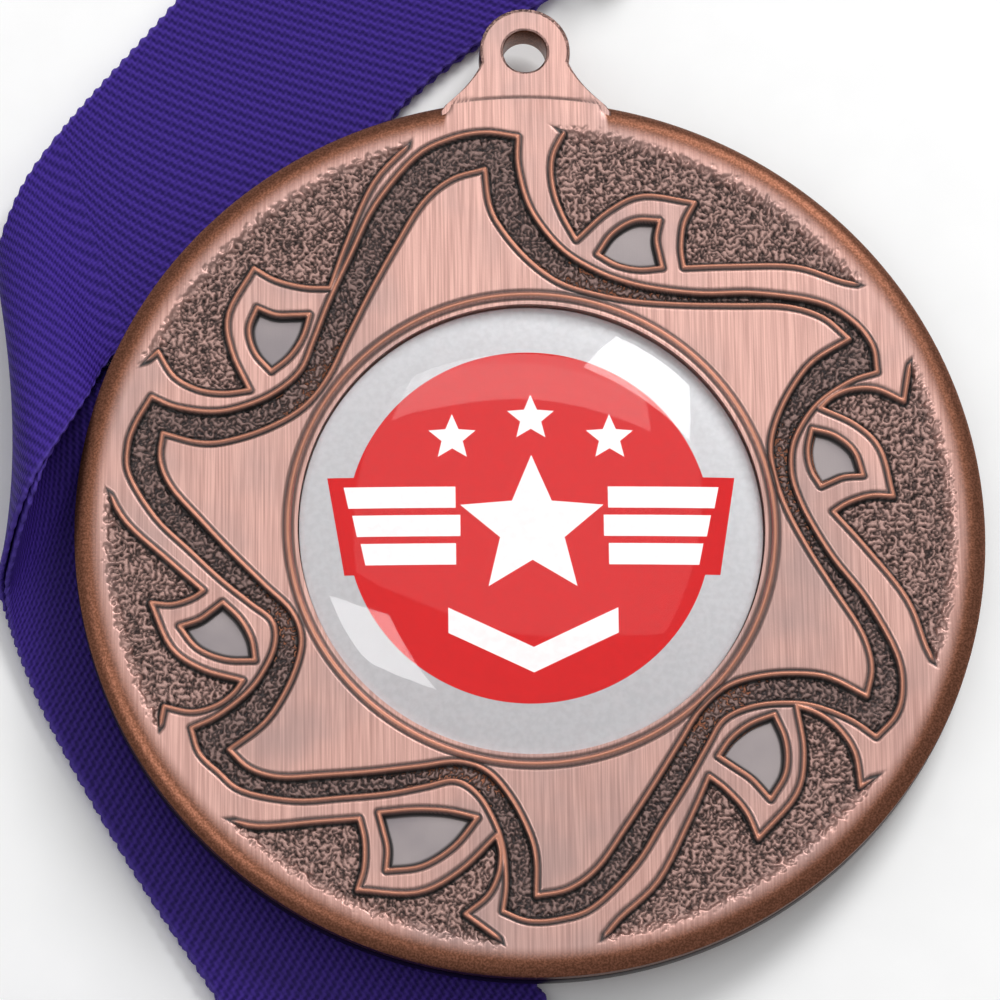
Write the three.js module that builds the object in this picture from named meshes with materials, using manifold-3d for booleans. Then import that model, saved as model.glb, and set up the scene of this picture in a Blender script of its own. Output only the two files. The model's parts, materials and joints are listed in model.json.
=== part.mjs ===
// Sports finisher medal lying on its folded neck ribbon.
// Millimetres, +Z up. The medal's centre starts at x = y = 0 with its ear towards +Y,
// and the last lines move the origin to the bottom centre of the whole object.
import * as THREE from 'three';
import { mergeVertices } from 'three/addons/utils/BufferGeometryUtils.js';
import Module from 'manifold-3d';

// ---- driving dimensions ----
const MEDAL_RADIUS = 25;
const MEDAL_THICKNESS = 3;
const RIM_WIDTH = 1.6;
const FIELD_HEIGHT = 2.2;          // textured ground, above the back face
const PLAIN_HEIGHT = 2.55;         // sun face and flame band
const BEAD_RADIUS = 13.35;         // raised ring round the insert
const BEAD_HALF_WIDTH = 0.35;
const BEAD_HEIGHT = 2.8;
const SEAT_RADIUS = 12.85;         // pocket for the insert
const SEAT_HEIGHT = 1.2;
const BACK_RECESS = 0.3;
const BACK_RECESS_RADIUS = 23;
const DISC_SEGMENTS = 72;

const EAR_HOLE_RADIUS = 1.22;
const EAR_HOLE_Y = 27.85;
const EAR_HEAD_RADIUS = 2.55;
const EAR_SHOULDER_HALF_WIDTH = 4.6;
const EAR_THICKNESS = 2.6;

const INSERT_RADIUS = 12.5;
const INSERT_GAP = 0.1;            // between the layers of the insert
const ADHESIVE_THICKNESS = 0.4;
const PRINT_THICKNESS = 0.2;
const DOME_HEIGHT = 1.9;

const LIFT_LEFT = 1.85;            // back of the medal above the ground, propped by the ribbon
const LIFT_RIGHT = 0.15;           // and where it touches down on the other side
const MEDAL_TILT = Math.asin((LIFT_LEFT - LIFT_RIGHT) / (2 * MEDAL_RADIUS));

const RIBBON_WIDTH = 15;
const BAND_THICKNESS = 0.8;        // the flattened loop: two layers of tape
const BAND_REST = BAND_THICKNESS / 2 + 0.02;
const STRAND_START = new THREE.Vector2(-1.8, 38.9);   // hem end, on the centreline
const STRAND_HEADING = THREE.MathUtils.degToRad(223.6);
const STRAND_LENGTH = 90;
const STRAND_STEP = 1.5;
const STRAND_COLUMNS = 8;
// The strand's two edges, from the hem to the hank: how far along, then x, y, z of its outer edge and its inner edge.
const STRAND_EDGES = [
  [0, -7.0, 44.3, 0.42, 3.4, 33.5, 0.42],
  [10, -14.7, 38.2, 0.42, -5.8, 26.7, 0.6],
  [20, -20.9, 30.8, 0.5, -12.7, 18.5, 0.9],
  [30, -26.2, 24.0, 1.4, -22.4, 11.3, 1.3],
  [35, -28.6, 19.6, 2.0, -24.7, 6.8, 4.0],
  [40, -29.2, 15.4, 1.7, -26.8, 2.2, 6.0],
  [45, -27.0, 12.0, 0.7, -28.4, -1.4, 3.8],
  [50, -22.4, 9.6, 0.42, -28.9, -3.6, 0.9],
  [60, -15.0, 0.0, 0.42, -26.7, -9.5, 0.5],
  [70, -9.5, -9.8, 0.42, -22.1, -17.8, 0.42],
  [80, -4.2, -18.3, 0.42, -16.7, -26.2, 0.42],
  [90, 1.3, -26.8, 0.42, -11.4, -34.9, 0.42],
];

const HEM_RADIUS = 1.65;
const HEM_BORE = 1.0;
const WIRE_RADIUS = 0.6;
const BAIL_HALF_WIDTH = 8.6;       // to the middle of the wire
const BAIL_LENGTH = 9.5;           // hem axis to the middle of the wire at the nose
const BAIL_NOSE_RADIUS = 1.9;
const BAIL_CORNER_RADIUS = 1.3;
const BAIL_GAP = 0.5;              // the split where the wire was closed

const THREAD_RADIUS = 0.18;
const STITCH_ROW_GAP = 2.2;
const STITCH_HALF_WIDTH = 6.2;

const HANK_LENGTH = 36;
const HANK_HEIGHT = 7.2;
const HANK_RIGHT = 1.5;            // x of the hank's right end
const HANK_MIDDLE_Y = -42.8;
const TIE_WIDTH = 4;
const TIE_THICKNESS = 0.5;
const TIE_CLEARANCE = 0.3;

// ---- the sun and its flames ----
// Tip angles of the six rays, counter-clockwise from +X, going round clockwise.
const RAY_TIPS = [97.0, 32.7, -26.6, -89.6, -143.1, -196.2];
// One ray's outlines as [share of the way clockwise to the next tip, radius].
const SUN_EDGE = [
  [0, 20.7], [0, 18.5], [0.03, 17.0], [0.1, 15.2], [0.2, 14.3], [0.33, 14.0],
  [0.47, 14.4], [0.62, 15.5], [0.74, 17.1], [0.84, 19.0], [0.92, 20.2],
];
const BAND_INNER_EDGE = [
  [0.078, 21.9], [0.075, 20.4], [0.09, 18.5], [0.125, 17.1], [0.2, 15.7], [0.3, 15.0],
  [0.42, 14.9], [0.52, 15.4], [0.63, 16.6], [0.74, 18.7], [0.85, 20.9], [0.94, 21.8], [1.03, 21.9],
];
const BAND_OUTER_EDGE = [
  [0.184, 22.4], [0.145, 21.2], [0.13, 19.6], [0.14, 18.4], [0.167, 17.3], [0.25, 18.6], [0.35, 20.1],
  [0.467, 21.1], [0.46, 19.8], [0.48, 18.6], [0.521, 17.6], [0.62, 18.9], [0.74, 21.2], [0.84, 23.0],
  [0.9, 24.0], [1.05, 24.0],
];

// ---- materials ----
const finish = (color, metalness, roughness, extra = {}) =>
  new THREE.MeshStandardMaterial({ color, metalness, roughness, ...extra });
const bronze = finish('#b07f70', 1, 0.42);
const adhesive = finish('#e9e6de', 0, 0.8);
const print = finish('#d8232f', 0, 0.5);
const resin = finish('#f4f6f7', 0, 0.05, { transparent: true, opacity: 0.35 });
const tape = finish('#3b1d7d', 0, 0.85);
const thread = finish('#2f1668', 0, 0.8);
const wire = finish('#8a6a5e', 1, 0.35);
const elastic = finish('#1c1b1f', 0, 0.7);

// ---- joining and cutting ----
const wasm = await Module();
wasm.setup();

function solid(geometry) {
  const bare = geometry.clone();
  bare.deleteAttribute('normal');
  bare.deleteAttribute('uv');
  const merged = mergeVertices(bare, 1e-5);
  return new wasm.Manifold(new wasm.Mesh({
    numProp: 3,
    vertProperties: new Float32Array(merged.attributes.position.array),
    triVerts: new Uint32Array(merged.index.array),
  }));
}

function geometryOf(manifold) {
  const mesh = manifold.getMesh();
  const geometry = new THREE.BufferGeometry();
  geometry.setAttribute('position', new THREE.BufferAttribute(mesh.vertProperties, 3));
  geometry.setIndex(new THREE.BufferAttribute(mesh.triVerts, 1));
  return geometry;
}

function prism(shape, bottom, top, curveSegments = 8) {
  const geometry = new THREE.ExtrudeGeometry(shape, {
    depth: top - bottom, bevelEnabled: false, curveSegments,
  });
  return geometry.translate(0, 0, bottom);
}

// A lathe turned about +Z from [radius, height] points.
function turned(profile, segments) {
  const points = profile.map(([r, z]) => new THREE.Vector2(r, z));
  return new THREE.LatheGeometry(points, segments).rotateX(Math.PI / 2);
}

// ---- medal body ----
function rayPoint(ray, share, radius) {
  const next = (ray + 1) % RAY_TIPS.length;
  const wrap = ray === RAY_TIPS.length - 1 ? 360 : 0;
  const span = RAY_TIPS[next] - wrap - RAY_TIPS[ray];
  const angle = THREE.MathUtils.degToRad(RAY_TIPS[ray] + span * share);
  return new THREE.Vector2(radius * Math.cos(angle), radius * Math.sin(angle));
}

function starLoop(edge) {
  const loop = RAY_TIPS.flatMap((_, ray) => edge.map(([share, radius]) => rayPoint(ray, share, radius)));
  return loop.reverse();
}

function medalBody() {
  const rimInner = MEDAL_RADIUS - RIM_WIDTH;
  const disc = turned([
    [0, SEAT_HEIGHT], [0, BACK_RECESS], [BACK_RECESS_RADIUS, BACK_RECESS], [BACK_RECESS_RADIUS + 0.3, 0],
    [MEDAL_RADIUS - 0.5, 0], [MEDAL_RADIUS, 0.5], [MEDAL_RADIUS, MEDAL_THICKNESS - 0.9],
    [MEDAL_RADIUS - 0.3, MEDAL_THICKNESS - 0.3], [MEDAL_RADIUS - 0.9, MEDAL_THICKNESS],
    [rimInner + 0.1, MEDAL_THICKNESS - 0.2], [rimInner - 0.2, FIELD_HEIGHT],
    [BEAD_RADIUS + BEAD_HALF_WIDTH, FIELD_HEIGHT], [BEAD_RADIUS, BEAD_HEIGHT],
    [SEAT_RADIUS, FIELD_HEIGHT], [SEAT_RADIUS, SEAT_HEIGHT], [0, SEAT_HEIGHT],
  ], DISC_SEGMENTS);

  const ear = new THREE.Shape();
  ear.moveTo(-EAR_SHOULDER_HALF_WIDTH, MEDAL_RADIUS - 1.6);
  ear.lineTo(EAR_SHOULDER_HALF_WIDTH, MEDAL_RADIUS - 1.6);
  ear.quadraticCurveTo(EAR_SHOULDER_HALF_WIDTH * 0.75, MEDAL_RADIUS + 0.6,
    EAR_HEAD_RADIUS * 0.97, EAR_HOLE_Y - 0.7);
  ear.absarc(0, EAR_HOLE_Y, EAR_HEAD_RADIUS, -0.3, Math.PI + 0.3, false);
  ear.quadraticCurveTo(-EAR_SHOULDER_HALF_WIDTH * 0.75, MEDAL_RADIUS + 0.6,
    -EAR_SHOULDER_HALF_WIDTH, MEDAL_RADIUS - 1.6);
  const eye = new THREE.Path();
  eye.absarc(0, EAR_HOLE_Y, EAR_HOLE_RADIUS, 0, 2 * Math.PI, true);
  ear.holes.push(eye);
  const earBottom = (MEDAL_THICKNESS - EAR_THICKNESS) / 2;
  const earSolid = prism(ear, earBottom, earBottom + EAR_THICKNESS, 10);

  const sun = new THREE.Shape(starLoop(SUN_EDGE));
  const mouth = new THREE.Path();
  mouth.absarc(0, 0, BEAD_RADIUS, 0, 2 * Math.PI, true);
  sun.holes.push(mouth);
  const band = new THREE.Shape(starLoop(BAND_OUTER_EDGE));
  band.holes.push(new THREE.Path(starLoop(BAND_INNER_EDGE).reverse()));
  const root = FIELD_HEIGHT - 0.3;
  return geometryOf(solid(disc).add(solid(earSolid))
    .add(solid(prism(sun, root, PLAIN_HEIGHT, 18)))
    .add(solid(prism(band, root, PLAIN_HEIGHT))));
}

// ---- insert ----
function domeProfile(bottom) {
  const edge = 0.5;
  return [
    [0, bottom], [INSERT_RADIUS, bottom], [INSERT_RADIUS, bottom + edge],
    [INSERT_RADIUS * 0.97, bottom + edge * 1.7], [INSERT_RADIUS * 0.86, bottom + DOME_HEIGHT * 0.68],
    [INSERT_RADIUS * 0.6, bottom + DOME_HEIGHT * 0.9], [INSERT_RADIUS * 0.3, bottom + DOME_HEIGHT * 0.98],
    [0, bottom + DOME_HEIGHT],
  ];
}

function plate(bottom, thickness) {
  return turned([[0, bottom], [INSERT_RADIUS, bottom], [INSERT_RADIUS, bottom + thickness],
    [0, bottom + thickness]], 48);
}

// ---- ribbon strand ----
const outerEdge = new THREE.CatmullRomCurve3(
  STRAND_EDGES.map(([, x, y, z]) => new THREE.Vector3(x, y, z)), false, 'catmullrom', 0.5);
const innerEdge = new THREE.CatmullRomCurve3(
  STRAND_EDGES.map(([, , , , x, y, z]) => new THREE.Vector3(x, y, z)), false, 'catmullrom', 0.5);

// A point on the middle of the band, s along it and share across it from its outer edge.
function bandPoint(s, share) {
  const next = STRAND_EDGES.findIndex(([at]) => at >= s);
  const i = Math.max(1, next < 0 ? STRAND_EDGES.length - 1 : next);
  const [from, to] = [STRAND_EDGES[i - 1][0], STRAND_EDGES[i][0]];
  const t = THREE.MathUtils.clamp((i - 1 + (s - from) / (to - from)) / (STRAND_EDGES.length - 1), 0, 1);
  const [outer, inner] = [outerEdge, innerEdge].map((edge) => edge.getPoint(t));
  outer.z = Math.max(outer.z, BAND_REST);
  inner.z = Math.max(inner.z, BAND_REST);
  return outer.lerp(inner, share);
}

// Where a point of the flat strand goes: s along it, v across it, w out of its face.
function strandPoint(s, v, w) {
  const share = v / RIBBON_WIDTH + 0.5;
  const ahead = bandPoint(Math.min(s + 0.2, STRAND_LENGTH), share).sub(bandPoint(Math.max(s - 0.2, 0), share));
  const across = bandPoint(s, 1).sub(bandPoint(s, 0));
  return bandPoint(s, share).addScaledVector(ahead.cross(across).normalize(), w);
}

function strand() {
  const steps = Math.round(STRAND_LENGTH / STRAND_STEP);
  const geometry = new THREE.BoxGeometry(STRAND_LENGTH, RIBBON_WIDTH, BAND_THICKNESS, steps, STRAND_COLUMNS, 1);
  const position = geometry.attributes.position;
  for (let i = 0; i < position.count; i += 1) {
    const p = strandPoint(position.getX(i) + STRAND_LENGTH / 2, position.getY(i), position.getZ(i));
    position.setXYZ(i, p.x, p.y, p.z);
  }
  return geometry;
}

// ---- hem, bail and stitching, laid along the strand's start ----
// Local frame: +X away from the strand, +Y across the ribbon, origin at the hem's middle.
const hemGroup = new THREE.Group();
const hemPlace = STRAND_START.clone().addScaledVector(
  new THREE.Vector2(Math.cos(STRAND_HEADING), Math.sin(STRAND_HEADING)), -(HEM_RADIUS + 0.3));
hemGroup.position.set(hemPlace.x, hemPlace.y, HEM_RADIUS + 0.02);
hemGroup.rotation.z = STRAND_HEADING + Math.PI;

function hem() {
  const half = RIBBON_WIDTH / 2;
  return turned([[HEM_BORE, -half], [HEM_RADIUS, -half], [HEM_RADIUS, half], [HEM_BORE, half], [HEM_BORE, -half]], 20)
    .rotateX(Math.PI / 2);
}

function wireSection(radius, sides) {
  const section = new THREE.Shape();
  section.absarc(0, 0, radius, 0, 2 * Math.PI, false);
  return new THREE.Shape(section.getPoints(sides / 2).slice(0, -1));
}

// The bail's wire starts and ends at the split in its straight bar, inside the hem.
function bail() {
  const corner = BAIL_CORNER_RADIUS;
  const cornerY = BAIL_HALF_WIDTH - corner;
  const noseX = BAIL_LENGTH - BAIL_NOSE_RADIUS;
  const lean = Math.atan2(noseX - corner, cornerY);
  const stations = [];
  const arc = (x, y, radius, from, to, count) => {
    for (let i = 0; i <= count; i += 1) {
      const angle = from + (to - from) * i / count;
      stations.push(new THREE.Vector3(x + radius * Math.cos(angle), y + radius * Math.sin(angle), 0));
    }
  };
  stations.push(new THREE.Vector3(0, BAIL_GAP / 2, 0), new THREE.Vector3(0, cornerY / 2, 0));
  arc(corner, cornerY, corner, Math.PI, lean, 5);
  arc(noseX, 0, BAIL_NOSE_RADIUS, lean, -lean, 6);
  arc(corner, -cornerY, corner, -lean, -Math.PI, 5);
  stations.push(new THREE.Vector3(0, -cornerY / 2, 0), new THREE.Vector3(0, -BAIL_GAP / 2, 0));
  const path = new THREE.CatmullRomCurve3(stations, false, 'centripetal');
  return new THREE.ExtrudeGeometry(wireSection(WIRE_RADIUS, 10), {
    steps: 48, bevelEnabled: false, extrudePath: path,
  });
}

// One thread: two rows across the ribbon, joined at one edge.
function stitching() {
  const rowX = [-(HEM_RADIUS + 1.2), -(HEM_RADIUS + 1.2 + STITCH_ROW_GAP)];
  const stations = [
    [rowX[0], -STITCH_HALF_WIDTH], [rowX[0], 0], [rowX[0], STITCH_HALF_WIDTH],
    [rowX[1], STITCH_HALF_WIDTH], [rowX[1], 0], [rowX[1], -STITCH_HALF_WIDTH],
  ].map(([x, y]) => new THREE.Vector3(x, y, 0));
  const path = new THREE.CatmullRomCurve3(stations, false, 'centripetal');
  return new THREE.ExtrudeGeometry(wireSection(THREAD_RADIUS, 8), {
    steps: 28, bevelEnabled: false, extrudePath: path,
  });
}

// ---- hank and its tie ----
function roundedBox(width, height, corner, Kind) {
  const x = width / 2;
  const y = height / 2;
  const outline = new Kind();
  outline.moveTo(-x + corner, -y);
  outline.lineTo(x - corner, -y);
  outline.absarc(x - corner, -y + corner, corner, -Math.PI / 2, 0, false);
  outline.lineTo(x, y - corner);
  outline.absarc(x - corner, y - corner, corner, 0, Math.PI / 2, false);
  outline.lineTo(-x + corner, y);
  outline.absarc(-x + corner, y - corner, corner, Math.PI / 2, Math.PI, false);
  outline.lineTo(-x, -y + corner);
  outline.absarc(-x + corner, -y + corner, corner, Math.PI, Math.PI * 1.5, false);
  return outline;
}

function hank() {
  const outline = roundedBox(HANK_LENGTH, HANK_HEIGHT, 1.8, THREE.Shape);
  return prism(outline, -RIBBON_WIDTH / 2, RIBBON_WIDTH / 2, 4).rotateX(Math.PI / 2);
}

function tie() {
  const wall = TIE_CLEARANCE + TIE_THICKNESS;
  const outline = roundedBox(RIBBON_WIDTH + 2 * wall, HANK_HEIGHT + 2 * wall, 1.2, THREE.Shape);
  const inside = roundedBox(RIBBON_WIDTH + 2 * TIE_CLEARANCE, HANK_HEIGHT + 2 * TIE_CLEARANCE, 0.7, THREE.Path);
  outline.holes.push(inside);
  return prism(outline, -TIE_WIDTH / 2, TIE_WIDTH / 2, 3).rotateX(Math.PI / 2).rotateZ(Math.PI / 2);
}

// ---- assembly ----
function piece(name, geometry, material) {
  const mesh = new THREE.Mesh(geometry, material);
  mesh.name = name;
  return mesh;
}

const medal = new THREE.Group();
medal.position.z = (LIFT_LEFT + LIFT_RIGHT) / 2;
medal.rotation.y = MEDAL_TILT;
const adhesiveBottom = SEAT_HEIGHT + INSERT_GAP;
const printBottom = adhesiveBottom + ADHESIVE_THICKNESS + INSERT_GAP;
const domeBottom = printBottom + PRINT_THICKNESS + INSERT_GAP;
medal.add(
  piece('medal_body', medalBody(), bronze),
  piece('insert_adhesive', plate(adhesiveBottom, ADHESIVE_THICKNESS), adhesive),
  piece('printed_disc', plate(printBottom, PRINT_THICKNESS), print),
  piece('resin_dome', turned(domeProfile(domeBottom), 48), resin),
);

const threadLift = BAND_REST + BAND_THICKNESS / 2 + THREAD_RADIUS + 0.15;
const threads = piece('hem_stitching', stitching(), thread);
threads.position.z = threadLift - hemGroup.position.z;
const bailMesh = piece('ribbon_bail', bail(), wire);
bailMesh.rotation.y = Math.asin((hemGroup.position.z - WIRE_RADIUS - 0.02) / BAIL_LENGTH);
hemGroup.add(piece('ribbon_hem', hem(), tape), threads, bailMesh);

const hankMiddle = new THREE.Vector3(
  HANK_RIGHT - HANK_LENGTH / 2, HANK_MIDDLE_Y, HANK_HEIGHT / 2 + TIE_CLEARANCE + TIE_THICKNESS + 0.02);
const hankMesh = piece('ribbon_hank', hank(), tape);
hankMesh.position.copy(hankMiddle);
const tieMesh = piece('hank_tie', tie(), elastic);
tieMesh.position.copy(hankMiddle);

const finisherMedal = new THREE.Group();
finisherMedal.add(medal, piece('ribbon_strand', strand(), tape), hemGroup, hankMesh, tieMesh);
finisherMedal.updateMatrixWorld(true);
const extent = new THREE.Box3().setFromObject(finisherMedal, true);
const middle = extent.getCenter(new THREE.Vector3());
finisherMedal.position.set(-middle.x, -middle.y, -extent.min.z);

export default finisherMedal;
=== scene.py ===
import json
import math

import bmesh
import bpy
import numpy as np
from mathutils import Matrix, Vector


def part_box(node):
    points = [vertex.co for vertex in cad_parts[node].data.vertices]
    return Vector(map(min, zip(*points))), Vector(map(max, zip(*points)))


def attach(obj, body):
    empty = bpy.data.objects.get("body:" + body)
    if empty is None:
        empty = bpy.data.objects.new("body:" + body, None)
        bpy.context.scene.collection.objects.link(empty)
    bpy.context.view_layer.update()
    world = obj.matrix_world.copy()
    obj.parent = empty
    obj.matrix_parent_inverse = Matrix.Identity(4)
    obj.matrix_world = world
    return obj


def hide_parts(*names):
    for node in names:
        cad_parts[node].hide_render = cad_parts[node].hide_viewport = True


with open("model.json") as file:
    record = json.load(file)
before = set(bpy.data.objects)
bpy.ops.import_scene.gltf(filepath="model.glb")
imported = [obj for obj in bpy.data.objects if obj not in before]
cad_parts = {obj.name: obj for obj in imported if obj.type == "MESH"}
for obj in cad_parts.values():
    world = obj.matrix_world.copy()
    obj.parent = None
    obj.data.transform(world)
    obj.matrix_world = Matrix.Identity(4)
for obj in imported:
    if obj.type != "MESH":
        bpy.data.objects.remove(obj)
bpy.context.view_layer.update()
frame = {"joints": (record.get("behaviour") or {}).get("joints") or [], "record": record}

# Sports finisher medal lying on its neck ribbon. Shapes are worked out in millimetres and
# placed in metres. The medal's own frame has its origin at the middle of the back rim's plane.

MM = 0.001

# ---- where things are, from the frame ----
mounts = {m["name"]: m for m in frame["record"]["mounts"]}
joints = {j["name"]: j for j in frame["joints"]}
BACK_RECESS = 0.3
medal_up = -Vector(mounts["back_face"]["axis"])
medal_origin = Vector(mounts["back_face"]["pos_m"]) - medal_up * BACK_RECESS * MM
MEDAL_PLACE = (Matrix.Translation(medal_origin) @ Matrix.Rotation(math.asin(medal_up.x), 4, "Y")
               @ Matrix.Scale(MM, 4))
ROW_PLACE = Matrix.Scale(MM, 4)

# ---- medal sizes, in mm ----
PLAIN_Z = 2.55
GROUND_DEPTH = 0.34
RIDGE_HEIGHT = 0.11
RIDGE_HALF = 0.12
BEAD_RADIUS = 13.35
SEAT_RADIUS = 12.8
SHOULDER_START = 24.0
SHOULDER_DROP = 0.8
FACE_FOOT = 1.6
GROUND_RADIUS = 23.4
FACE_EDGE = 24.96
# Values of the rim attribute: the material turns from plain to worn brown as it grows, then to a dark
# painted shade on the outer wall.
PLAIN_RIM = 22.0
BROWN_RIM = 24.4
SHADED_WALL_RIM = 26.0
FACE_STEP = 0.06
EAR_HALF_WIDTH = 4.6
EAR_HEAD_RADIUS = 2.55
EAR_HOLE_RADIUS = 1.22
EAR_HOLE_Y = 27.85

# ---- the sun and its flames ----
# Tip angles of the six rays, counter-clockwise from +X, going round clockwise.
RAY_TIPS = (96.4, 31.2, -28.1, -90.2, -142.9, -194.8)
# One ray's outlines: (named corner or "", share of the way clockwise to the next tip, radius in mm).
SUN_EDGE = (
    ("tip", 0.0, 20.7), ("", 0.0, 18.6), ("", 0.025, 17.1), ("", 0.095, 15.3), ("", 0.2, 14.05),
    ("", 0.33, 13.75), ("", 0.47, 14.1), ("", 0.62, 15.3), ("", 0.74, 17.0), ("", 0.84, 19.0),
    ("", 0.92, 20.2),
)
BAND_INNER_EDGE = (
    ("collar", 0.08, 21.9), ("", 0.075, 20.4), ("", 0.09, 18.5), ("", 0.125, 17.1), ("", 0.2, 15.7),
    ("", 0.3, 15.05), ("", 0.4, 15.0), ("", 0.51, 15.5), ("", 0.63, 16.7), ("", 0.74, 18.7),
    ("", 0.86, 21.0), ("", 0.94, 22.0), ("", 1.01, 22.3),
)
BAND_OUTER_EDGE = (
    ("merge", 0.03, 24.9), ("", 0.11, 23.4), ("lick", 0.184, 22.4), ("", 0.142, 21.1), ("", 0.128, 19.7),
    ("", 0.138, 18.4), ("valley", 0.167, 17.3), ("", 0.25, 19.2), ("", 0.335, 20.5),
    ("fin", 0.467, 21.1), ("", 0.466, 19.8), ("", 0.488, 18.5), ("notch", 0.521, 17.6),
    ("", 0.63, 19.2), ("", 0.75, 21.5), ("", 0.85, 22.9), ("", 0.92, 24.4),
)
WINDOW_EDGE = (
    ("low", 0.224, 16.5), ("", 0.262, 17.9), ("", 0.32, 19.0), ("high", 0.392, 19.5), ("", 0.402, 18.4),
    ("", 0.426, 17.6), ("side", 0.452, 16.9), ("", 0.38, 16.3), ("", 0.30, 16.15),
)
# The flames were drawn by hand, so each ray's corners lie a little apart: share and radius.
CORNERS = (
    {"tip": (0, 20.9), "collar": (0.08, 22.7), "lick": (0.18, 23.1), "valley": (0.24, 16.8),
     "fin": (0.505, 21.0), "notch": (0.56, 17.3), "low": (0.31, 16.2),
     "high": (0.445, 19.2), "side": (0.505, 16.7)},
    {"tip": (0, 20.8), "collar": (0.11, 21.2), "lick": (0.205, 21.9), "valley": (0.14, 17.4),
     "fin": (0.445, 20.0), "notch": (0.48, 16.6), "low": (0.195, 16.5),
     "high": (0.375, 18.5), "side": (0.39, 16.1)},
    {"tip": (0, 20.5), "collar": (0.075, 22.0), "lick": (0.19, 22.9), "valley": (0.12, 17.5),
     "fin": (0.445, 21.2), "notch": (0.455, 16.9), "low": (0.18, 16.8),
     "high": (0.36, 19.9), "side": (0.395, 16.3)},
    {"tip": (0, 20.6), "collar": (0.09, 21.5), "lick": (0.19, 21.9), "valley": (0.13, 17.4),
     "fin": (0.48, 22.4), "notch": (0.57, 18.9), "low": (0.205, 16.6),
     "high": (0.43, 20.8), "side": (0.525, 18.1)},
    {"tip": (0, 20.7), "collar": (0.11, 21.7), "lick": (0.2, 22.4), "valley": (0.16, 18.0),
     "fin": (0.49, 21.2), "notch": (0.495, 18.3), "low": (0.205, 16.9),
     "high": (0.4, 20.0), "side": (0.44, 17.4)},
    {"tip": (0, 20.9), "collar": (0.07, 22.1), "lick": (0.165, 22.8), "valley": (0.175, 17.3),
     "fin": (0.43, 21.3), "notch": (0.53, 17.6), "low": (0.25, 16.8),
     "high": (0.365, 19.6), "side": (0.44, 17.2)},
)
# How far, in mm, each ray's bay on its clockwise side is bowed out.
BAY_SWELL = (0.0, 0.1, 0.75, 1.1, 1.1, 0.7)
CURVE_STEPS = 5


def ray_span(ray):
    """Degrees clockwise from one ray's tip to the next."""
    following = RAY_TIPS[(ray + 1) % 6] - (360 if ray == 5 else 0)
    return RAY_TIPS[ray] - following


def plan_point(ray, share, radius):
    """Where (share, radius) of a ray lies on the medal's face."""
    angle = math.radians(RAY_TIPS[ray] - ray_span(ray) * share)
    return np.array([radius * math.cos(angle), radius * math.sin(angle)])


def fitted(edge, ray, closes):
    """An outline's points for one ray, pulled over so that its corners meet that ray's own."""
    count = len(edge)
    keyed = [i for i, (name, _, _) in enumerate(edge) if name in CORNERS[ray]]
    shifts = {i: np.array(CORNERS[ray][edge[i][0]]) - np.array(edge[i][1:]) for i in keyed}
    if closes:
        shifts[count] = shifts[keyed[0]]
    else:
        following = (ray + 1) % 6
        name, share, radius = edge[keyed[0]]
        shifts[count + keyed[0]] = np.array(CORNERS[following][name]) - np.array([share, radius])
        previous = np.array(CORNERS[ray - 1][edge[keyed[-1]][0]]) - np.array(edge[keyed[-1]][1:])
        shifts[keyed[-1] - count] = previous
    marks = sorted(shifts)
    moves = np.array([shifts[m] for m in marks])
    at = np.arange(count)
    return [(name, share + np.interp(i, marks, moves[:, 0]), radius + np.interp(i, marks, moves[:, 1]))
            for i, (name, share, radius) in zip(at, edge)]


def smooth_through(points, corners):
    """A Catmull-Rom line through a closed list of points, sharp at the corners."""
    count = len(points)
    line = []
    for i in range(count):
        b, c = points[i], points[(i + 1) % count]
        a = points[i - 1] if i not in corners else 2 * b - c
        d = points[(i + 2) % count] if (i + 1) % count not in corners else 2 * c - b
        for step in range(CURVE_STEPS):
            t = step / CURVE_STEPS
            line.append(0.5 * (2 * b + (c - a) * t + (2 * a - 5 * b + 4 * c - d) * t * t
                               + (3 * b - a - 3 * c + d) * t ** 3))
    return np.array(line)


def star_outline(edge, sharp, swell=0.0):
    """A closed outline that runs through all six rays."""
    points, corners = [], set()
    for ray in range(6):
        for name, share, radius in fitted(edge, ray, closes=False):
            if name in sharp:
                corners.add(len(points))
            bow = swell * BAY_SWELL[ray] * max(0, math.sin(math.pi * (share - 0.3) / 0.68))
            points.append(plan_point(ray, share, radius + bow))
    return smooth_through(points, corners)


def window_outline(ray):
    points = [plan_point(ray, share, radius) for _, share, radius in fitted(WINDOW_EDGE, ray, closes=True)]
    return smooth_through(points, {i for i, (name, _, _) in enumerate(WINDOW_EDGE) if name})


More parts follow.
